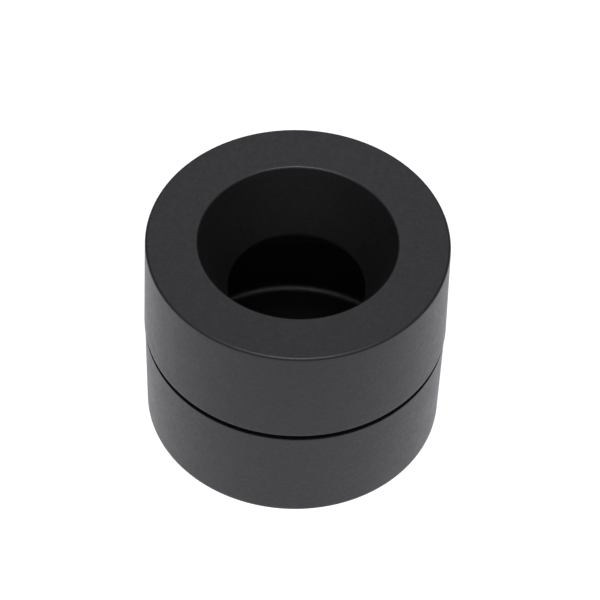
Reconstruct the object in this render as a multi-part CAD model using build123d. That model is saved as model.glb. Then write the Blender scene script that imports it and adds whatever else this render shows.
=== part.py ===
from build123d import *

import math
import os

# Magnetic paper clip holder: a round desk pot in two halves. Clips lie in the lower cup, and the
# upper half, which lifts off and turns freely, draws them up its funnel with a hidden ring magnet.
# All sizes are in millimetres. The origin is the middle of the underside, on the desk, and +Z is up.

# Outer form
skirt_radius = 36.5
rim_taper = 0.18
seam_inset = 0.2
cup_taper = 0.55
cup_height = 27.9
seam_gap = 1.8
upper_height = 28.2

# Funnel in the upper half
rim_width = 12.45
funnel_narrowing = 7.8
funnel_depth = 17.2
funnel_wall = 2.0

# Walls
rim_wall = 2.2
skirt_wall = 2.2
skirt_draft = 0.2
cup_wall = 2.4
cup_draft = 0.25
cup_floor = 2.4

# Edge roundings
rim_round = 0.7
mouth_round = 0.7
lip_round = 0.8
seam_round = 0.12
skirt_inside_round = 0.2
rim_corner_round = 1.0
base_round = 0.8
cup_corner_round = 3.0

# Feet and underside
foot_count = 4
foot_first_angle = 45.0
foot_radius = 5.0
foot_thickness = 1.2
foot_round = 0.3
foot_margin = 1.2
base_ring_width = 4.2
underside_recess_depth = 0.8
gate_dimple_radius = 2.5
gate_dimple_depth = 0.4
gate_pip_radius = 0.8
gate_pip_height = 0.25

# Soft ring in the seam
ring_lip_width = 1.15
ring_seat_depth = 0.8
ring_clearance = 0.12
ring_round = 0.15

# Magnet and what holds it
gusset_count = 8
gusset_first_angle = 22.5
gusset_height = 2.7
gusset_thickness = 1.4
magnet_thickness = 6.0
magnet_play = 0.1
magnet_clearance = 0.3
magnet_chamfer = 0.5
seat_thickness = 2.2
funnel_clearance = 0.3
fence_wall = 1.5
fence_height = 3.0
fence_round = 0.3

# Sleeve that joins the halves
sleeve_engagement = 7.0
sleeve_wall = 1.8
sleeve_clearance = 0.1
sleeve_step_rise = 0.4
spigot_clearance = 0.35
spigot_round = 0.6
sleeve_inside_round = 1.5
friction_rib_count = 6
friction_rib_first_angle = 30.0
friction_rib_width = 1.2
friction_rib_end_margin = 1.2
friction_clearance = 0.08

# Snaps between the sleeve and the upper housing
snap_count = 4
snap_first_angle = 0.0
snap_width = 8.0
snap_height = 2.4
snap_depth = 0.9
snap_land = 0.6
snap_below_seat = 6.0
snap_side_clearance = 0.4
snap_end_clearance = 0.1

# Heights that follow from the sizes above
cup_bottom_z = foot_thickness - underside_recess_depth
cup_top_z = cup_bottom_z + cup_height
cup_floor_z = cup_bottom_z + cup_floor
skirt_bottom_z = cup_top_z + seam_gap
rim_top_z = skirt_bottom_z + upper_height
rim_under_z = rim_top_z - rim_wall
throat_z = rim_top_z - funnel_depth
ring_seat_z = cup_top_z - ring_seat_depth
gusset_bottom_z = rim_under_z - gusset_height
magnet_top_z = gusset_bottom_z - magnet_play
magnet_bottom_z = magnet_top_z - magnet_thickness
seat_bottom_z = magnet_bottom_z - seat_thickness
fence_top_z = magnet_bottom_z + fence_height
sleeve_bottom_z = cup_top_z - sleeve_engagement
sleeve_step_z = skirt_bottom_z + sleeve_step_rise
snap_top_z = seat_bottom_z - snap_below_seat
snap_bottom_z = snap_top_z - snap_height

# Radii that follow from the sizes above
rim_radius = skirt_radius - rim_taper
cup_top_radius = skirt_radius - seam_inset
cup_base_radius = cup_top_radius - cup_taper
mouth_radius = rim_radius - rim_width
throat_radius = mouth_radius - funnel_narrowing
funnel_slope = funnel_narrowing / funnel_depth
funnel_wall_across = funnel_wall * math.hypot(1.0, funnel_slope)
skirt_inner_radius = skirt_radius - skirt_wall
cup_bore_radius = cup_top_radius - cup_wall
ring_seat_radius = cup_top_radius - ring_lip_width
ring_outer_radius = ring_seat_radius - ring_clearance
ring_inner_radius = cup_bore_radius + ring_clearance
underside_recess_radius = cup_base_radius - base_ring_width
foot_circle_radius = underside_recess_radius - foot_margin - foot_radius


def funnel_radius(height):
    """Radius of the funnel's inner face at a height."""
    return throat_radius + funnel_slope * (height - throat_z)


def funnel_outer_radius(height):
    """Radius of the funnel's hidden outer face at a height."""
    return funnel_radius(height) + funnel_wall_across


def skirt_inside(height):
    """Radius of the skirt's inner face, which narrows upwards."""
    share = (height - skirt_bottom_z) / (rim_under_z - skirt_bottom_z)
    return skirt_inner_radius - skirt_draft * share


def cup_bore(height):
    """Radius of the cup's bore, which narrows downwards."""
    share = (ring_seat_z - height) / (ring_seat_z - cup_floor_z)
    return cup_bore_radius - cup_draft * share


sleeve_radius = skirt_inside(fence_top_z) - sleeve_clearance
spigot_radius = cup_bore(sleeve_bottom_z) - spigot_clearance
sleeve_inner_radius = spigot_radius - sleeve_wall
friction_rib_radius = cup_bore(sleeve_bottom_z) - friction_clearance
fence_inner_radius = sleeve_radius - fence_wall
magnet_outer_radius = fence_inner_radius - magnet_clearance
magnet_inner_radius = funnel_outer_radius(magnet_top_z) + magnet_clearance


def turned(corners):
    """Solid turned about Z from a closed section of (radius, height, rounding) corners."""
    points = [(radius, height) for radius, height, rounding in corners]
    roundings = [rounding for radius, height, rounding in corners]
    with BuildPart() as solid:
        with BuildSketch(Plane.XZ):
            with BuildLine():
                FilletPolyline(*points, radius=roundings, close=True)
            make_face()
        revolve(axis=Axis.Z)
    return solid.part


def radial_plate(corners, thickness):
    """Plate standing in the XZ plane, from (radius, height) corners, centred on that plane."""
    with BuildPart() as solid:
        with BuildSketch(Plane.XZ):
            with BuildLine():
                Polyline(*corners, close=True)
            make_face()
        extrude(amount=thickness / 2, both=True)
    return solid.part


def around(shape, count, first_angle):
    """Copies of a shape, evenly spaced about Z."""
    return [Rot(0, 0, first_angle + 360.0 * number / count) * shape for number in range(count)]


def make_lower_cup():
    """Cup with a stepped top edge for the soft ring and a recessed underside with a gate mark."""
    recess_z = cup_bottom_z + underside_recess_depth
    dimple_z = recess_z + gate_dimple_depth
    pip_z = dimple_z - gate_pip_height
    return turned(
        [
            (0, pip_z, 0),
            (gate_pip_radius, pip_z, 0),
            (gate_pip_radius, dimple_z, 0),
            (gate_dimple_radius, dimple_z, 0),
            (gate_dimple_radius, recess_z, 0),
            (underside_recess_radius, recess_z, 0),
            (underside_recess_radius, cup_bottom_z, seam_round),
            (cup_base_radius, cup_bottom_z, base_round),
            (cup_top_radius, cup_top_z, seam_round),
            (ring_seat_radius, cup_top_z, 0),
            (ring_seat_radius, ring_seat_z, 0),
            (cup_bore_radius, ring_seat_z, 0),
            (cup_bore(cup_floor_z), cup_floor_z, cup_corner_round),
            (0, cup_floor_z, 0),
        ]
    )


def make_foot():
    """Rubber pad with a rounded lower edge, stuck in the recess of the underside, at angle 0."""
    pad = turned(
        [
            (0, 0, 0),
            (foot_radius, 0, foot_round),
            (foot_radius, foot_thickness, 0),
            (0, foot_thickness, 0),
        ]
    )
    return Pos(foot_circle_radius, 0, 0) * pad


def make_seat_ring():
    """Soft ring that lies in the cup's stepped edge, carries the skirt and sets the seam's width."""
    return turned(
        [
            (ring_inner_radius, ring_seat_z, 0),
            (ring_outer_radius, ring_seat_z, 0),
            (ring_outer_radius, skirt_bottom_z, ring_round),
            (ring_inner_radius, skirt_bottom_z, ring_round),
        ]
    )


def make_upper_housing():
    """Skirt, flat rim and funnel in one moulding, with gussets over the magnet and snap lugs."""
    housing = turned(
        [
            (skirt_radius, skirt_bottom_z, seam_round),
            (rim_radius, rim_top_z, rim_round),
            (mouth_radius, rim_top_z, mouth_round),
            (throat_radius, throat_z, lip_round),
            (funnel_outer_radius(throat_z), throat_z, lip_round),
            (funnel_outer_radius(rim_under_z), rim_under_z, rim_corner_round),
            (skirt_inside(rim_under_z), rim_under_z, rim_corner_round),
            (skirt_inner_radius, skirt_bottom_z, skirt_inside_round),
        ]
    )
    # Each gusset ends in the middle of the funnel's wall, of the rim and of the skirt.
    rim_middle_z = rim_top_z - rim_wall / 2
    skirt_middle = skirt_inside(rim_under_z) + skirt_wall / 2
    gusset = radial_plate(
        [
            (funnel_radius(gusset_bottom_z) + funnel_wall_across / 2, gusset_bottom_z),
            (skirt_middle, gusset_bottom_z),
            (skirt_middle, rim_middle_z),
            (funnel_radius(rim_middle_z) + funnel_wall_across / 2, rim_middle_z),
        ],
        gusset_thickness,
    )
    # Each lug has a flat top, which the sleeve hangs on, and a ramp below it.
    lug_root = skirt_inside(snap_top_z) + skirt_wall / 2
    lug_face = skirt_inside(snap_top_z) - snap_depth
    lug = radial_plate(
        [
            (lug_root, snap_bottom_z),
            (skirt_inside(snap_bottom_z), snap_bottom_z),
            (lug_face, snap_top_z - snap_land),
            (lug_face, snap_top_z),
            (lug_root, snap_top_z),
        ],
        snap_width,
    )
    housing += around(gusset, gusset_count, gusset_first_angle)
    housing += around(lug, snap_count, snap_first_angle)
    return housing


def make_ring_magnet():
    """Flat ring magnet round the funnel, with its edges broken."""
    ring = turned(
        [
            (magnet_inner_radius, magnet_bottom_z, 0),
            (magnet_outer_radius, magnet_bottom_z, 0),
            (magnet_outer_radius, magnet_top_z, 0),
            (magnet_inner_radius, magnet_top_z, 0),
        ]
    )
    return chamfer(ring.edges().filter_by(GeomType.CIRCLE), magnet_chamfer)


def make_inner_sleeve():
    """Sleeve that snaps into the skirt, carries the magnet and reaches down into the cup."""
    sleeve = turned(
        [
            (spigot_radius, sleeve_bottom_z, spigot_round),
            (spigot_radius, sleeve_step_z, 0),
            (sleeve_radius, sleeve_step_z, 0),
            (sleeve_radius, fence_top_z, fence_round),
            (fence_inner_radius, fence_top_z, fence_round),
            (fence_inner_radius, magnet_bottom_z, 0),
            (funnel_outer_radius(magnet_bottom_z) + funnel_clearance, magnet_bottom_z, 0),
            (funnel_outer_radius(seat_bottom_z) + funnel_clearance, seat_bottom_z, 0),
            (sleeve_inner_radius, seat_bottom_z, sleeve_inside_round),
            (sleeve_inner_radius, sleeve_bottom_z, spigot_round),
        ]
    )
    rib_root = spigot_radius - sleeve_wall / 2
    rib_bottom_z = sleeve_bottom_z + friction_rib_end_margin
    rib_top_z = ring_seat_z - friction_rib_end_margin
    friction_rib = radial_plate(
        [
            (rib_root, rib_bottom_z),
            (friction_rib_radius, rib_bottom_z),
            (friction_rib_radius, rib_top_z),
            (rib_root, rib_top_z),
        ],
        friction_rib_width,
    )
    window_bottom_z = snap_bottom_z - snap_side_clearance
    window_top_z = snap_top_z + snap_end_clearance
    window = radial_plate(
        [
            (sleeve_inner_radius - sleeve_wall, window_bottom_z),
            (sleeve_radius + sleeve_wall, window_bottom_z),
            (sleeve_radius + sleeve_wall, window_top_z),
            (sleeve_inner_radius - sleeve_wall, window_top_z),
        ],
        snap_width + 2 * snap_side_clearance,
    )
    sleeve += around(friction_rib, friction_rib_count, friction_rib_first_angle)
    sleeve -= around(window, snap_count, snap_first_angle)
    return sleeve


def main():
    """Makes every piece and writes each to its own file."""
    pieces = {
        "lower_cup": make_lower_cup(),
        "seat_ring": make_seat_ring(),
        "upper_housing": make_upper_housing(),
        "ring_magnet": make_ring_magnet(),
        "inner_sleeve": make_inner_sleeve(),
    }
    feet = around(make_foot(), foot_count, foot_first_angle)
    for number, foot in enumerate(feet, start=1):
        pieces[f"foot_{number}"] = foot
    os.makedirs("parts", exist_ok=True)
    for name, piece in pieces.items():
        export_step(piece, f"parts/{name}.step")


main()
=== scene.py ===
"""Looks of a round desk pot for paper clips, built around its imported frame.

The pot stands on the desk with its axis on Z. Its shells, soft ring and feet are turned surfaces: a
rounded section carried round an upright axis. Sizes are in millimetres until they become a mesh.
"""

import logging
import math
from dataclasses import dataclass
from enum import Enum

import bpy
import numpy as np
from mathutils import Matrix, Vector


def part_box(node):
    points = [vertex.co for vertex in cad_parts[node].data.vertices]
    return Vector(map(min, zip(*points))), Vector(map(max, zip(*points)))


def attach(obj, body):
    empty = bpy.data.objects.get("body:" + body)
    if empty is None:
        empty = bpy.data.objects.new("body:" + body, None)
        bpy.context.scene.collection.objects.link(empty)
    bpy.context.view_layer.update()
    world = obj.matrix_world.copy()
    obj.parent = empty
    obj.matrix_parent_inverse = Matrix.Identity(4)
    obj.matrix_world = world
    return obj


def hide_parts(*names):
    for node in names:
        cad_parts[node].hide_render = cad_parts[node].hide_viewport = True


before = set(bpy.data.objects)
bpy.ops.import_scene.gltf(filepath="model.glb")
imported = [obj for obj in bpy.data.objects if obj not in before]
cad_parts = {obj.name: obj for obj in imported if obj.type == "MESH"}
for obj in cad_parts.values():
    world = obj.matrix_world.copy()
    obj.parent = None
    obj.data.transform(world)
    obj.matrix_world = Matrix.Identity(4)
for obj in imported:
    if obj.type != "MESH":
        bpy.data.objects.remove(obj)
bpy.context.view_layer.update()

LOG = logging.getLogger("clip_pot")
MM = 0.001
# Most of a noise texture's values lie between these.
NOISE_WINDOW = (0.3, 0.7)


class Body(Enum):
    """Bodies of the frame that a piece can ride on."""

    BASE = "base"
    RING = "ring"
    TOP = "top"


class Slot(Enum):
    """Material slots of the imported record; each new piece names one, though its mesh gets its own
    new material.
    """

    SHELL = "shell_plastic"
    RING = "ring_rubber"
    FOOT = "foot_rubber"


@dataclass(frozen=True)
class Extent:
    """Box of a CAD node at rest, in millimetres."""

    low: np.ndarray
    high: np.ndarray

    @classmethod
    def of(cls, node: str) -> "Extent":
        """Box of the named node."""
        low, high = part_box(node)
        return cls(np.array(low) / MM, np.array(high) / MM)

    @property
    def radius(self) -> float:
        """Half the width along X, which is the radius of a turned piece."""
        return float(self.high[0] - self.low[0]) / 2

    @property
    def centre(self) -> np.ndarray:
        """Middle of the box seen from above."""
        return (self.low[:2] + self.high[:2]) / 2

    @property
    def bottom(self) -> float:
        """Lowest height."""
        return float(self.low[2])

    @property
    def top(self) -> float:
        """Highest height."""
        return float(self.high[2])


@dataclass(frozen=True)
class Corner:
    """Corner of a turned section: its place and how far it is rounded."""

    radius: float
    height: float
    rounding: float = 0.0


@dataclass(frozen=True)
class Section:
    """Outline of a turned piece, corner by corner with the material on the left of the way round.

    Where the piece reaches its axis, the first and the last corner lie on it and are not rounded.
    """

    corners: tuple[Corner, ...]
    reaches_axis: bool = False
    arc_steps: int = 8
    run_steps: int = 10

    def line(self) -> np.ndarray:
        """Points of the rounded outline.

        Each corner becomes the arc that touches both its sides, and each straight run between two
        arcs is divided by the cosine rule, closer near its ends, so that flats shade flat.

        Returns:
            One row a point: radius, height, and 1 on an arc or 0 on a straight run.
        """
        points = np.array([(corner.radius, corner.height) for corner in self.corners])
        rounding = np.array([corner.rounding for corner in self.corners])[:, None]
        before = self._unit(np.roll(points, 1, axis=0) - points)
        after = self._unit(np.roll(points, -1, axis=0) - points)
        kept = slice(1, -1) if self.reaches_axis else slice(None)
        arcs = self._arcs(points[kept], before[kept], after[kept], rounding[kept])
        starts, ends = arcs[:, 0, :2], arcs[:, -1, :2]
        if self.reaches_axis:
            runs = self._runs(np.vstack([points[:1], ends]), np.vstack([starts, points[-1:]]))
            inner = np.concatenate([runs[:-1], arcs], axis=1).reshape(-1, 3)
            poles = self._flagged(points[None, [0, -1]], 0.0)[0]
            return np.concatenate([poles[:1], inner, runs[-1], poles[1:]])
        runs = self._runs(np.roll(ends, 1, axis=0), starts)
        return np.concatenate([runs, arcs], axis=1).reshape(-1, 3)

    def _arcs(
        self, points: np.ndarray, before: np.ndarray, after: np.ndarray, rounding: np.ndarray
    ) -> np.ndarray:
        """Arcs of the corners: the centre lies on the bisector, rounding / sin(half angle) away.

        Args:
            points: The corners.
            before: Unit vectors to the corners before.
            after: Unit vectors to the corners after.
            rounding: Radii of the arcs.

        Returns:
            Array of corner, step and (radius, height, 1).
        """
        half = np.arccos(np.clip(np.sum(before * after, axis=1, keepdims=True), -1, 1)) / 2
        centre = points + self._unit(before + after) * rounding / np.sin(half)
        touch = rounding / np.tan(half)
        start = (points + before * touch - centre)[:, None]
        end = (points + after * touch - centre)[:, None]
        turn = (math.pi - 2 * half)[:, None]
        share = np.linspace(0, 1, self.arc_steps + 1)[None, :, None]
        swept = (np.sin((1 - share) * turn) * start + np.sin(share * turn) * end) / np.sin(turn)
        return self._flagged(centre[:, None] + swept, 1.0)

    def _runs(self, starts: np.ndarray, ends: np.ndarray) -> np.ndarray:
        """Straight runs without their ends, divided at (1 - cos(pi share)) / 2.

        Args:
            starts: First points of the runs.
            ends: Last points of the runs.

        Returns:
            Array of run, step and (radius, height, 0).
        """
        share = (1 - np.cos(math.pi * np.arange(1, self.run_steps) / self.run_steps)) / 2
        points = starts[:, None] + (ends - starts)[:, None] * share[None, :, None]
        return self._flagged(points, 0.0)

    @staticmethod
    def _unit(vectors: np.ndarray) -> np.ndarray:
        """Vectors brought to length 1."""
        return vectors / np.linalg.norm(vectors, axis=1, keepdims=True)

    @staticmethod
    def _flagged(points: np.ndarray, flag: float) -> np.ndarray:
        """Points with one more column that holds the flag."""
        return np.concatenate([points, np.full(points.shape[:2] + (1,), flag)], axis=2)


@dataclass(frozen=True)
class Piece:
    """What a new piece is called, what it rides on and what it stands for."""

    name: str
    body: Body
    slot: Slot
    replaced: tuple[str, ...] = ()

    def place(self, mesh: bpy.types.Mesh, material: bpy.types.Material) -> bpy.types.Object:
        """Puts a mesh into the scene as this piece.

        Args:
            mesh: The finished mesh, in metres and in place.
            material: The finish of the whole piece.

        Returns:
            The new object.
        """
        mesh.materials.append(material)
        piece = bpy.data.objects.new(self.name, mesh)
        bpy.context.scene.collection.objects.link(piece)
        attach(piece, self.body.value)
        if self.replaced:
            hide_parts(*self.replaced)
        LOG.info("%s on %s: %d faces", self.name, self.body.value, len(mesh.polygons))
        return piece


def mesh_of(name: str, points: np.ndarray, faces: list[list[int]], smooth: bool) -> bpy.types.Mesh:
    """Mesh from vertices and faces.

    Args:
        name: Name of the mesh.
        points: Vertices in millimetres.
        faces: Vertex numbers of each face, turning left when it is seen from outside.
        smooth: Whether the faces shade as one curved surface.

    Returns:
        The mesh, in metres.
    """
    mesh = bpy.data.meshes.new(name)
    mesh.from_pydata((points * MM).tolist(), [], faces)
    mesh.polygons.foreach_set("use_smooth", np.full(len(mesh.polygons), smooth))
    mesh.update()
    return mesh


def turned_mesh(
    name: str, section: Section, centre: tuple[float, float] = (0.0, 0.0), segments: int = 256
) -> bpy.types.Mesh:
    """Surface of revolution about an upright axis at (cx, cy).

    Each point (r, h) of the section gives, at each angle a, the vertex x = cx + r cos(a),
    y = cy + r sin(a), z = h. The grid closes on itself round the axis and along the section. A
    section that reaches the axis has one vertex at each pole. The attribute edge is 1 where the
    section is rounded.

    Args:
        name: Name of the mesh.
        section: Outline that is turned.
        centre: Where the upright axis stands.
        segments: Number of steps round the axis.

    Returns:
        The mesh, in metres.
    """
    line = section.line()
    poles = line[[0, -1]] if section.reaches_axis else line[:0]
    rows = line[1:-1] if section.reaches_axis else line
    angle = 2 * math.pi * np.arange(segments) / segments
    radius, height, turn = np.broadcast_arrays(rows[:, :1], rows[:, 1:2], angle)
    grid = np.stack([radius * np.cos(turn), radius * np.sin(turn), height], axis=2)
    pole_points = poles[:, [0, 0, 1]]
    points = np.concatenate([grid.reshape(-1, 3), pole_points])
    points[:, :2] += centre

    number = np.arange(len(rows) * segments).reshape(len(rows), segments)
    along = number if section.reaches_axis else np.vstack([number, number[:1]])
    here, beyond = along[:-1], along[1:]
    quads = np.stack([here, np.roll(here, -1, 1), np.roll(beyond, -1, 1), beyond], axis=2)
    faces = quads.reshape(-1, 4).tolist()
    if section.reaches_axis:
        low, high = number.size, number.size + 1
        first, last = number[0], number[-1]
        faces += np.stack([np.full_like(first, low), np.roll(first, -1), first], axis=1).tolist()
        faces += np.stack([last, np.roll(last, -1), np.full_like(last, high)], axis=1).tolist()

    mesh = mesh_of(name, points, faces, smooth=True)
    edge = mesh.attributes.new("edge", "FLOAT", "POINT")
    edge.data.foreach_set("value", np.concatenate([np.repeat(rows[:, 2], segments), poles[:, 2]]))
    return mesh


def plates_mesh(
    name: str, outline: np.ndarray, thickness: float, angles: np.ndarray
) -> bpy.types.Mesh:
    """Radial plates: an outline in (radius, height) carried across its thickness, at each angle.

    At the angle a, a point at radius r and at an offset s from the plate's middle plane lies at
    r (cos a, sin a) + s (-sin a, cos a).

    Args:
        name: Name of the mesh.
        outline: Corners of the plate, turning left, as rows of radius and height.
        thickness: Thickness of a plate.
        angles: Where the plates stand, in radians.

    Returns:
        The mesh of all plates, in metres.
    """
    count = len(outline)
    offset = thickness / 2 * np.array([-1.0, 1.0])[None, :, None]
    turn = np.asarray(angles)[:, None, None]
    radius, height = outline[None, None, :, 0], outline[None, None, :, 1]
    across = np.stack(np.broadcast_arrays(
        radius * np.cos(turn) - offset * np.sin(turn),
        radius * np.sin(turn) + offset * np.cos(turn),
        height,
    ), axis=3)
    corner = np.arange(count)
    beyond = np.roll(corner, -1)
    sides = np.stack([corner, corner + count, beyond + count, beyond], axis=1)
    caps = np.stack([corner, corner[::-1] + count])
    first = 2 * count * np.arange(len(angles))[:, None, None]
    faces = (first + sides).reshape(-1, 4).tolist() + (first + caps).reshape(-1, count).tolist()
    return mesh_of(name, across.reshape(-1, 3), faces, smooth=False)


def evenly(count: int, first: float) -> np.ndarray:
    """Angles of a number of copies round the axis, in radians, from a first angle in degrees."""
    return math.radians(first) + 2 * math.pi * np.arange(count) / count


class Nodes:
    """Node tree of one material, with short calls that add nodes and join them."""

    def __init__(self, name: str) -> None:
        """Starts a material with a Principled shader and Object coordinates.

        Args:
            name: Name of the material.
        """
        self.material = bpy.data.materials.new(name)
        self.material.use_nodes = True
        self.tree = self.material.node_tree
        self.shader = self.tree.nodes["Principled BSDF"]
        self.place = self.tree.nodes.new("ShaderNodeTexCoord").outputs["Object"]

    def noise(self, feature: float, layers: float) -> bpy.types.NodeSocket:
        """Noise in three dimensions, the same wherever the object stands.

        Args:
            feature: Size of the noise's features, in millimetres.
            layers: Number of finer layers added to it.

        Returns:
            Socket of the noise, whose values lie about one half.
        """
        node = self.tree.nodes.new("ShaderNodeTexNoise")
        node.inputs["Scale"].default_value = 1 / (feature * MM)
        node.inputs["Detail"].default_value = layers
        self.tree.links.new(self.place, node.inputs["Vector"])
        return node.outputs["Fac"]

    def attribute(self, name: str) -> bpy.types.NodeSocket:
        """Value that the mesh itself holds.

        Args:
            name: Name of the mesh's attribute.

        Returns:
            Socket of the attribute's value.
        """
        node = self.tree.nodes.new("ShaderNodeAttribute")
        node.attribute_name = name
        return node.outputs["Fac"]

    def distance(self, centre: tuple[float, float, float]) -> bpy.types.NodeSocket:
        """How far the shaded point lies from a place.

        Args:
            centre: The place, in millimetres.

        Returns:
            Socket of the distance, in metres.
        """
        node = self.tree.nodes.new("ShaderNodeVectorMath")
        node.operation = "DISTANCE"
        node.inputs[1].default_value = Vector(centre) * MM
        self.tree.links.new(self.place, node.inputs[0])
        return node.outputs["Value"]

    def spread(
        self,
        source: bpy.types.NodeSocket,
        low: float,
        high: float,
        window: tuple[float, float] = (0.0, 1.0),
    ) -> bpy.types.NodeSocket:
        """Value brought from a window of the source to the range from low to high.

        Args:
            source: Socket that is read.
            low: Value at the window's start.
            high: Value at the window's end.
            window: Part of the source's range that is used.

        Returns:
            Socket of the new value.
        """
        node = self.tree.nodes.new("ShaderNodeMapRange")
        node.inputs["From Min"].default_value, node.inputs["From Max"].default_value = window
        node.inputs["To Min"].default_value = low
        node.inputs["To Max"].default_value = high
        self.tree.links.new(source, node.inputs["Value"])
        return node.outputs["Result"]

    def added(
        self, first: bpy.types.NodeSocket, second: bpy.types.NodeSocket
    ) -> bpy.types.NodeSocket:
        """Sum of two values.

        Args:
            first: Socket of one value.
            second: Socket of the other value.

        Returns:
            Socket of the sum.
        """
        node = self.tree.nodes.new("ShaderNodeMath")
        node.operation = "ADD"
        self.tree.links.new(first, node.inputs[0])
        self.tree.links.new(second, node.inputs[1])
        return node.outputs["Value"]

    def tint(
        self, amount: bpy.types.NodeSocket, dark: tuple[float, ...], light: tuple[float, ...]
    ) -> bpy.types.NodeSocket:
        """Colour between two colours.

        Args:
            amount: Socket of the light colour's share, from 0 to 1.
            dark: Colour at 0.
            light: Colour at 1.

        Returns:
            Socket of the mixed colour.
        """
        node = self.tree.nodes.new("ShaderNodeMix")
        node.data_type = "RGBA"
        colours = [socket for socket in node.inputs if socket.type == "RGBA"]
        colours[0].default_value = (*dark, 1.0)
        colours[1].default_value = (*light, 1.0)
        self.tree.links.new(amount, node.inputs["Factor"])
        return next(socket for socket in node.outputs if socket.type == "RGBA")

    def bump(self, height: bpy.types.NodeSocket, depth: float) -> None:
        """Puts fine relief on the whole surface.

        Args:
            height: Socket of the relief's height, from 0 to 1.
            depth: Depth of the relief, in millimetres.
        """
        node = self.tree.nodes.new("ShaderNodeBump")
        node.inputs["Distance"].default_value = depth * MM
        self.tree.links.new(height, node.inputs["Height"])
        self.tree.links.new(node.outputs["Normal"], self.shader.inputs["Normal"])

    def feed(self, socket: str, value: bpy.types.NodeSocket) -> None:
        """Joins a value to one of the shader's sockets."""
        self.tree.links.new(value, self.shader.inputs[socket])

    def fix(self, socket: str, value: float | tuple[float, ...]) -> None:
        """Sets one of the shader's sockets to a constant."""
        self.shader.inputs[socket].default_value = value


@dataclass(frozen=True)
class MouldedPlastic:
    """Matt moulded plastic: the fine grain of an eroded mould, and faint clouds in its sheen."""

    name: str
    dark: tuple[float, float, float]
    light: tuple[float, float, float]
    roughness: float
    grain_size: float = 0.95
    grain_layers: float = 3.0
    grain_depth: float = 0.033
    grain_roughness: float = 0.035
    cloud_size: float = 5.0
    cloud_layers: float = 4.0
    cloud_roughness: float = 0.02
    edge_polish: float = 0.05
    refraction: float = 1.38

    def material(self) -> bpy.types.Material:
        """Makes the finish: grain in tone, sheen and relief, clouds in sheen, and smoother edges.

        Returns:
            The material.
        """
        nodes = Nodes(self.name)
        grain = nodes.noise(self.grain_size, self.grain_layers)
        cloud = nodes.noise(self.cloud_size, self.cloud_layers)
        mottle = nodes.spread(grain, 0.0, 1.0, NOISE_WINDOW)
        nodes.feed("Base Color", nodes.tint(mottle, self.dark, self.light))
        low, high = self.roughness - self.cloud_roughness, self.roughness + self.cloud_roughness
        sheen = nodes.spread(cloud, low, high, NOISE_WINDOW)
        speckle = nodes.spread(grain, self.grain_roughness, -self.grain_roughness, NOISE_WINDOW)
        polish = nodes.spread(nodes.attribute("edge"), 0.0, -self.edge_polish)
        matt = nodes.added(sheen, speckle)
        nodes.feed("Roughness", nodes.added(matt, polish))
        nodes.fix("IOR", self.refraction)
        nodes.bump(grain, self.grain_depth)
        return nodes.material


@dataclass(frozen=True)
class SoftRubber:
    """Matt rubber with fine pores and a dusty bloom."""

    name: str
    dark: tuple[float, float, float]
    light: tuple[float, float, float]
    roughness: float = 0.72
    pore_size: float = 0.18
    pore_layers: float = 3.0
    pore_depth: float = 0.01
    bloom_size: float = 3.0
    bloom_layers: float = 5.0
    bloom_roughness: float = 0.06
    specular_level: float = 0.35

    def material(self) -> bpy.types.Material:
        """Makes the finish: the bloom greys the rubber and the pores break up its sheen.

        Returns:
            The material.
        """
        nodes = Nodes(self.name)
        pores = nodes.noise(self.pore_size, self.pore_layers)
        bloom = nodes.noise(self.bloom_size, self.bloom_layers)
        nodes.feed("Base Color", nodes.tint(bloom, self.dark, self.light))
        low, high = self.roughness - self.bloom_roughness, self.roughness + self.bloom_roughness
        nodes.feed("Roughness", nodes.spread(bloom, low, high))
        nodes.fix("Specular IOR Level", self.specular_level)
        nodes.bump(pores, self.pore_depth)
        return nodes.material


@dataclass(frozen=True)
class SinteredFerrite:
    """Grey ferrite with crystal grains and the dull sheen of a ground face."""

    name: str
    dark: tuple[float, float, float]
    light: tuple[float, float, float]
    roughness: float = 0.5
    crystal_size: float = 0.25
    crystal_layers: float = 6.0
    crystal_depth: float = 0.008
    crystal_roughness: float = 0.1
    refraction: float = 1.8

    def material(self) -> bpy.types.Material:
        """Makes the finish: each crystal grain has its own tone and sheen.

        Returns:
            The material.
        """
        nodes = Nodes(self.name)
        crystals = nodes.noise(self.crystal_size, self.crystal_layers)
        nodes.feed("Base Color", nodes.tint(crystals, self.dark, self.light))
        dull = self.roughness + self.crystal_roughness
        bright = self.roughness - self.crystal_roughness
        nodes.feed("Roughness", nodes.spread(crystals, dull, bright))
        nodes.fix("IOR", self.refraction)
        nodes.bump(crystals, self.crystal_depth)
        return nodes.material


SHELL_FINISH = MouldedPlastic(
    "shell_matt_plastic",
    dark=(0.0040, 0.0040, 0.0042),
    light=(0.0080, 0.0080, 0.0083),
    roughness=0.40,
)
SLEEVE_FINISH = MouldedPlastic(
    "sleeve_satin_plastic",
    dark=(0.013, 0.013, 0.015),
    light=(0.017, 0.017, 0.019),
    roughness=0.40,
    grain_depth=0.003,
)
RING_FINISH = SoftRubber(
    "ring_soft_rubber", dark=(0.004, 0.004, 0.0045), light=(0.007, 0.007, 0.0075)
)
FOOT_FINISH = SoftRubber(
    "foot_rubber", dark=(0.018, 0.018, 0.019), light=(0.034, 0.034, 0.036)
)
FERRITE_FINISH = SinteredFerrite(
    "magnet_ferrite", dark=(0.06, 0.06, 0.064), light=(0.11, 0.11, 0.116)
)


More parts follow.
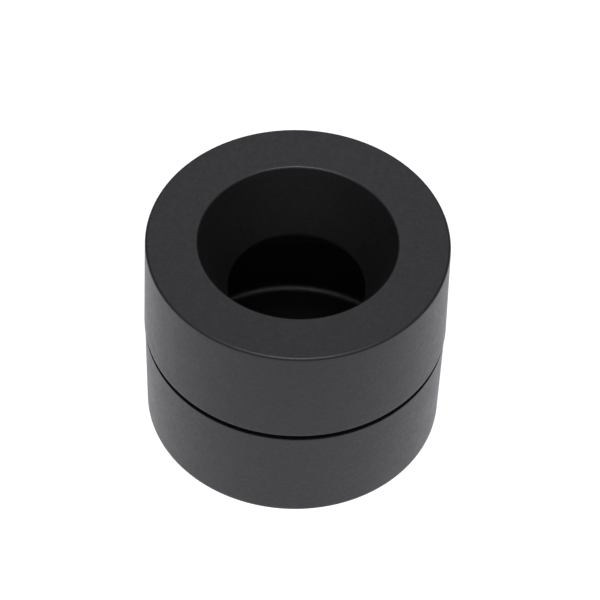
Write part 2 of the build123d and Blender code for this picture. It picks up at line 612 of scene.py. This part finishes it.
@dataclass
class LowerCup:
    """Cup that the clips lie in, with a stepped top edge and a recessed underside."""

    taper: float = 0.55
    wall: float = 2.4
    floor: float = 2.4
    bore_draft: float = 0.25
    ring_lip_width: float = 1.15
    base_ring_width: float = 4.2
    recess_depth: float = 0.8
    dimple_radius: float = 2.5
    dimple_depth: float = 0.4
    pip_radius: float = 0.8
    pip_height: float = 0.25
    edge_round: float = 0.12
    base_round: float = 0.8
    corner_round: float = 3.0
    broken_edge: float = 0.12
    mark_edge: float = 0.08

    def section(self) -> Section:
        """Works out the outline from the middle of the underside, up the outside and down the bore.

        Returns:
            The section, from axis to axis.
        """
        cup, ring = Extent.of("lower_cup"), Extent.of("seat_ring")
        top_radius, base_radius = cup.radius, cup.radius - self.taper
        lip_radius = top_radius - self.ring_lip_width
        bore_radius = top_radius - self.wall
        recess = cup.bottom + self.recess_depth
        recess_radius = base_radius - self.base_ring_width
        dimple = recess + self.dimple_depth
        pip = dimple - self.pip_height
        floor = cup.bottom + self.floor
        return Section(
            (
                Corner(0.0, pip),
                Corner(self.pip_radius, pip, self.mark_edge),
                Corner(self.pip_radius, dimple, self.mark_edge),
                Corner(self.dimple_radius, dimple, self.mark_edge),
                Corner(self.dimple_radius, recess, self.mark_edge),
                Corner(recess_radius, recess, self.broken_edge),
                Corner(recess_radius, cup.bottom, self.edge_round),
                Corner(base_radius, cup.bottom, self.base_round),
                Corner(top_radius, cup.top, self.edge_round),
                Corner(lip_radius, cup.top, self.broken_edge),
                Corner(lip_radius, ring.bottom, self.broken_edge),
                Corner(bore_radius, ring.bottom, self.broken_edge),
                Corner(bore_radius - self.bore_draft, floor, self.corner_round),
                Corner(0.0, floor),
            ),
            reaches_axis=True,
        )

    def build(self) -> None:
        """Makes the shell that stands for the cup."""
        piece = Piece("cup_shell", Body.BASE, Slot.SHELL, ("lower_cup",))
        piece.place(turned_mesh(piece.name, self.section()), SHELL_FINISH.material())


@dataclass
class RubberFeet:
    """Four rubber pads stuck under the cup."""

    count: int = 4
    lower_round: float = 0.3
    upper_round: float = 0.08
    segments: int = 96

    def build(self) -> None:
        """Makes each pad where its node lies: a low disc with a rounded lower edge."""
        finish = FOOT_FINISH.material()
        for number in range(1, self.count + 1):
            node = f"foot_{number}"
            pad = Extent.of(node)
            section = Section(
                (
                    Corner(0.0, pad.bottom),
                    Corner(pad.radius, pad.bottom, self.lower_round),
                    Corner(pad.radius, pad.top, self.upper_round),
                    Corner(0.0, pad.top),
                ),
                reaches_axis=True,
            )
            piece = Piece(f"foot_pad_{number}", Body.BASE, Slot.FOOT, (node,))
            piece.place(turned_mesh(piece.name, section, tuple(pad.centre), self.segments), finish)


@dataclass
class SoftRing:
    """Soft ring in the seam, which carries the top and lies in the cup's edge."""

    width: float = 1.01
    upper_round: float = 0.15
    lower_round: float = 0.1

    def build(self) -> None:
        """Makes the ring: a flat band, upright in the cup's stepped edge."""
        ring = Extent.of("seat_ring")
        inner_radius = ring.radius - self.width
        section = Section(
            (
                Corner(inner_radius, ring.bottom, self.lower_round),
                Corner(ring.radius, ring.bottom, self.lower_round),
                Corner(ring.radius, ring.top, self.upper_round),
                Corner(inner_radius, ring.top, self.upper_round),
            )
        )
        piece = Piece("seam_ring", Body.RING, Slot.RING, ("seat_ring",))
        piece.place(turned_mesh(piece.name, section), RING_FINISH.material())


@dataclass
class UpperTop:
    """Lift-off top: skirt, flat rim and funnel in one moulding, with what it hides inside."""

    rim_taper: float = 0.18
    rim_width: float = 12.45
    skirt_wall: float = 2.2
    skirt_draft: float = 0.2
    rim_wall: float = 2.2
    funnel_narrowing: float = 7.8
    funnel_depth: float = 17.2
    funnel_wall: float = 2.0
    rim_round: float = 0.7
    mouth_round: float = 0.7
    lip_round: float = 0.8
    seam_round: float = 0.12
    skirt_inside_round: float = 0.2
    inner_corner_round: float = 1.0
    gusset_count: int = 8
    gusset_first_angle: float = 22.5
    gusset_height: float = 2.7
    gusset_thickness: float = 1.4
    lug_count: int = 4
    lug_first_angle: float = 0.0
    lug_width: float = 8.0
    lug_height: float = 2.4
    lug_depth: float = 0.9
    lug_land: float = 0.6
    lug_below_rim: float = 17.0
    plate_edge: float = 0.2
    plate_edge_steps: int = 2

    def __post_init__(self) -> None:
        """Takes the outer sizes from the frame and works out the funnel's slope."""
        self.box = Extent.of("upper_housing")
        self.rim_under = self.box.top - self.rim_wall
        self.throat = self.box.top - self.funnel_depth
        self.rim_radius = self.box.radius - self.rim_taper
        self.mouth_radius = self.rim_radius - self.rim_width
        self.throat_radius = self.mouth_radius - self.funnel_narrowing
        self.slope = self.funnel_narrowing / self.funnel_depth
        self.wall_across = self.funnel_wall * math.hypot(1.0, self.slope)

    def funnel_back(self, height: float) -> float:
        """Radius of the funnel's hidden face at a height."""
        return self.throat_radius + self.slope * (height - self.throat) + self.wall_across

    def skirt_inside(self, height: float) -> float:
        """Radius of the skirt's inner face at a height."""
        share = (height - self.box.bottom) / (self.rim_under - self.box.bottom)
        return self.box.radius - self.skirt_wall - self.skirt_draft * share

    def section(self) -> Section:
        """Works out the outline: up the skirt, over the rim, down the funnel and back inside.

        Returns:
            The section, closed on itself.
        """
        box = self.box
        inside = self.inner_corner_round
        return Section(
            (
                Corner(box.radius, box.bottom, self.seam_round),
                Corner(self.rim_radius, box.top, self.rim_round),
                Corner(self.mouth_radius, box.top, self.mouth_round),
                Corner(self.throat_radius, self.throat, self.lip_round),
                Corner(self.funnel_back(self.throat), self.throat, self.lip_round),
                Corner(self.funnel_back(self.rim_under), self.rim_under, inside),
                Corner(self.skirt_inside(self.rim_under), self.rim_under, inside),
                Corner(self.skirt_inside(box.bottom), box.bottom, self.skirt_inside_round),
            )
        )

    def gussets(self) -> bpy.types.Mesh:
        """Makes the plates over the magnet, each rooted in the funnel, the rim and the skirt.

        Returns:
            The mesh of all gussets.
        """
        low = self.rim_under - self.gusset_height
        high = self.rim_under + self.rim_wall / 2
        skirt = self.skirt_inside(self.rim_under) + self.skirt_wall / 2
        root = self.wall_across / 2
        outline = np.array(
            [
                (self.funnel_back(low) - root, low),
                (skirt, low),
                (skirt, high),
                (self.funnel_back(high) - root, high),
            ]
        )
        angles = evenly(self.gusset_count, self.gusset_first_angle)
        return plates_mesh("top_gussets", outline, self.gusset_thickness, angles)

    def lugs(self) -> bpy.types.Mesh:
        """Makes the snap lugs on the skirt's inner face, flat on top and with a ramp below.

        Returns:
            The mesh of all lugs.
        """
        top = self.rim_under - self.lug_below_rim
        bottom = top - self.lug_height
        root = self.skirt_inside(top) + self.skirt_wall / 2
        face = self.skirt_inside(top) - self.lug_depth
        outline = np.array(
            [
                (root, bottom),
                (root, top),
                (face, top),
                (face, top - self.lug_land),
                (self.skirt_inside(bottom), bottom),
            ]
        )
        angles = evenly(self.lug_count, self.lug_first_angle)
        return plates_mesh("top_snap_lugs", outline, self.lug_width, angles)

    def build(self) -> None:
        """Makes the shell that stands for the housing, and the plates moulded inside it."""
        finish = SHELL_FINISH.material()
        shell = Piece("top_shell", Body.TOP, Slot.SHELL, ("upper_housing",))
        shell.place(turned_mesh(shell.name, self.section()), finish)
        for mesh in (self.gussets(), self.lugs()):
            plates = Piece(mesh.name, Body.TOP, Slot.SHELL).place(mesh, finish)
            edges = plates.modifiers.new("broken_edges", "BEVEL")
            edges.width = self.plate_edge * MM
            edges.segments = self.plate_edge_steps


@dataclass
class InnerWorks:
    """Sleeve and ring magnet inside the top, which stay as the frame has them."""

    def build(self) -> None:
        """Gives both nodes their finish."""
        dressed = {"inner_sleeve": SLEEVE_FINISH, "ring_magnet": FERRITE_FINISH}
        for node, finish in dressed.items():
            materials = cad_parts[node].data.materials
            materials.clear()
            materials.append(finish.material())
            LOG.info("%s dressed as %s", node, finish.name)


@dataclass
class Studio:
    """Pale floor and soft light, brightest overhead and dim at the horizon.

    The sky is a list of pairs: the cosine of the angle from its brightest point, and the brightness
    there. That point leans from overhead to the front. The floor is matt and glows evenly as a
    white table does, and in front of the pot a painted pool of light makes its glow stronger.
    """

    floor_half: float = 8000.0
    floor_colour: tuple[float, float, float] = (0.1, 0.1, 0.102)
    floor_roughness: float = 1.0
    floor_specular_level: float = 0.0
    floor_tint: tuple[float, float, float] = (0.958, 0.958, 1.0)
    floor_glow: float = 1.06
    # Painted pool of light: extra floor glow in front of the pot, fading out over the reach.
    painted_pool_glow: float = 0.16
    painted_pool_centre: tuple[float, float, float] = (0.0, -58.0, 0.0)
    painted_pool_reach: float = 90.0
    sky: tuple[tuple[float, float], ...] = (
        (0.0, 0.1), (0.35, 0.15), (0.6, 0.85), (0.8, 0.75), (0.93, 1.5), (0.98, 4.5), (1.0, 13.0)
    )
    sky_lean: float = 9.0
    front_gain: float = 0.3
    light_tint: tuple[float, float, float] = (0.945, 0.945, 1.0)
    backdrop: float = 1.0
    softbox_distance: float = 450.0
    softbox_elevation: float = 49.0
    softbox_side: float = 250.0
    softbox_watts: float = 0.155

    @property
    def brightest(self) -> float:
        """Brightness of the sky's brightest pair."""
        return max(level for _, level in self.sky)

    def build(self) -> None:
        """Sets up floor, sky, softbox and colour handling."""
        self.build_floor()
        self.build_sky()
        self.build_softbox()
        bpy.context.scene.view_settings.view_transform = "Standard"
        bpy.context.scene.view_settings.look = "None"

    def build_floor(self) -> None:
        """Makes the wide flat floor, with its even glow and a painted pool of light."""
        half = self.floor_half * MM
        mesh = bpy.data.meshes.new("floor")
        corners = [(-half, -half, 0.0), (half, -half, 0.0), (half, half, 0.0), (-half, half, 0.0)]
        mesh.from_pydata(corners, [], [(0, 1, 2, 3)])
        nodes = Nodes("floor_white")
        nodes.fix("Base Color", (*self.floor_colour, 1.0))
        nodes.fix("Emission Color", (*self.floor_tint, 1.0))
        nodes.fix("Roughness", self.floor_roughness)
        nodes.fix("Specular IOR Level", self.floor_specular_level)
        # Painted pool of light: the floor's emission is stronger near a spot in front of the pot,
        # in place of light cast there.
        away = nodes.distance(self.painted_pool_centre)
        brightest = self.floor_glow + self.painted_pool_glow
        glow_with_painted_pool = nodes.spread(away, brightest, self.floor_glow, (0.0, self.painted_pool_reach * MM))
        glow_with_painted_pool.node.interpolation_type = "SMOOTHSTEP"
        nodes.feed("Emission Strength", glow_with_painted_pool)
        mesh.materials.append(nodes.material)
        floor = bpy.data.objects.new("floor", mesh)
        bpy.context.scene.collection.objects.link(floor)

    def build_sky(self) -> None:
        """Makes the sky: what lights the object, and one plain tone that shows behind it."""
        world = bpy.data.worlds.new("studio")
        world.use_nodes = True
        bpy.context.scene.world = world
        tree = world.node_tree
        tree.nodes.clear()
        direction = tree.nodes.new("ShaderNodeTexCoord").outputs["Generated"]
        light = tree.nodes.new("ShaderNodeBackground")
        tree.links.new(self.sky_colour(tree, direction), light.inputs["Color"])
        tree.links.new(self.sky_strength(tree, direction), light.inputs["Strength"])
        plain = tree.nodes.new("ShaderNodeBackground")
        plain.inputs["Strength"].default_value = self.backdrop
        path = tree.nodes.new("ShaderNodeLightPath")
        mix = tree.nodes.new("ShaderNodeMixShader")
        tree.links.new(path.outputs["Is Camera Ray"], mix.inputs["Fac"])
        tree.links.new(light.outputs["Background"], mix.inputs[1])
        tree.links.new(plain.outputs["Background"], mix.inputs[2])
        output = tree.nodes.new("ShaderNodeOutputWorld")
        tree.links.new(mix.outputs["Shader"], output.inputs["Surface"])

    def sky_colour(
        self, tree: bpy.types.NodeTree, direction: bpy.types.NodeSocket
    ) -> bpy.types.NodeSocket:
        """Reads the sky's pairs by the cosine of the angle from its brightest point.

        Args:
            tree: Node tree of the world.
            direction: Socket of the direction that is looked in.

        Returns:
            Socket of the tinted brightness, as a share of the brightest.
        """
        lean = math.radians(self.sky_lean)
        cosine = tree.nodes.new("ShaderNodeVectorMath")
        cosine.operation = "DOT_PRODUCT"
        cosine.inputs[1].default_value = (0.0, -math.sin(lean), math.cos(lean))
        tree.links.new(direction, cosine.inputs[0])
        ramp = tree.nodes.new("ShaderNodeValToRGB")
        tree.links.new(cosine.outputs["Value"], ramp.inputs["Fac"])
        elements = ramp.color_ramp.elements
        supplied = len(elements)
        for number, (place, level) in enumerate(self.sky):
            element = elements[number] if number < supplied else elements.new(place)
            element.position = place
            share = level / self.brightest
            element.color = (*(share * channel for channel in self.light_tint), 1.0)
        return ramp.outputs["Color"]

    def sky_strength(
        self, tree: bpy.types.NodeTree, direction: bpy.types.NodeSocket
    ) -> bpy.types.NodeSocket:
        """Makes the sky brighter in front and dimmer behind by the gain, with an even change.

        Args:
            tree: Node tree of the world.
            direction: Socket of the direction that is looked in.

        Returns:
            Socket of the brightness of the sky's brightest pair, seen in that direction.
        """
        parts = tree.nodes.new("ShaderNodeSeparateXYZ")
        tree.links.new(direction, parts.inputs["Vector"])
        fall = tree.nodes.new("ShaderNodeMapRange")
        # The Y of a direction runs from -1 in front to 1 behind.
        fall.inputs["From Min"].default_value = -1.0
        fall.inputs["From Max"].default_value = 1.0
        fall.inputs["To Min"].default_value = self.brightest * (1 + self.front_gain)
        fall.inputs["To Max"].default_value = self.brightest * (1 - self.front_gain)
        tree.links.new(parts.outputs["Y"], fall.inputs["Value"])
        return fall.outputs["Result"]

    def build_softbox(self) -> None:
        """Makes the square softbox behind the pot, turned towards it, which lights the rim."""
        rise = math.radians(self.softbox_elevation)
        away = Vector((0.0, math.cos(rise), math.sin(rise)))
        data = bpy.data.lights.new("softbox", "AREA")
        data.size = self.softbox_side * MM
        data.energy = self.softbox_watts
        data.color = self.light_tint
        softbox = bpy.data.objects.new("softbox", data)
        softbox.location = away * self.softbox_distance * MM
        softbox.rotation_euler = away.to_track_quat("Z", "Y").to_euler()
        softbox.visible_camera = False
        bpy.context.scene.collection.objects.link(softbox)


@dataclass
class PhotoCamera:
    """Camera from in front and above, a little rolled, as the photograph was taken."""

    target: tuple[float, float, float] = (0.982, 0.0, 36.971)
    distance: float = 1032.9
    elevation: float = 49.624
    roll: float = 2.136
    lens: float = 257.41
    sensor: float = 36.0

    def build(self) -> None:
        """Makes the camera: it looks at the target from the distance, rolled about its view."""
        rise, roll = math.radians(self.elevation), math.radians(self.roll)
        back = Vector((0.0, -math.cos(rise), math.sin(rise)))
        right, up = Vector((1.0, 0.0, 0.0)), Vector((0.0, math.sin(rise), math.cos(rise)))
        across = math.cos(roll) * right + math.sin(roll) * up
        upward = math.cos(roll) * up - math.sin(roll) * right
        data = bpy.data.cameras.new("photo_camera")
        data.sensor_width = self.sensor
        data.lens = self.lens
        camera = bpy.data.objects.new("photo_camera", data)
        place = (Vector(self.target) + self.distance * back) * MM
        turn = Matrix((across, upward, back)).transposed().to_4x4()
        camera.matrix_world = Matrix.Translation(place) @ turn
        bpy.context.scene.collection.objects.link(camera)
        bpy.context.scene.camera = camera


def main() -> None:
    """Builds the pot from the desk up, then the studio and the camera."""
    logging.basicConfig(level=logging.INFO, format="%(message)s")
    for part in (LowerCup, RubberFeet, SoftRing, UpperTop, InnerWorks, Studio, PhotoCamera):
        part().build()


if __name__ == "__main__":
    main()
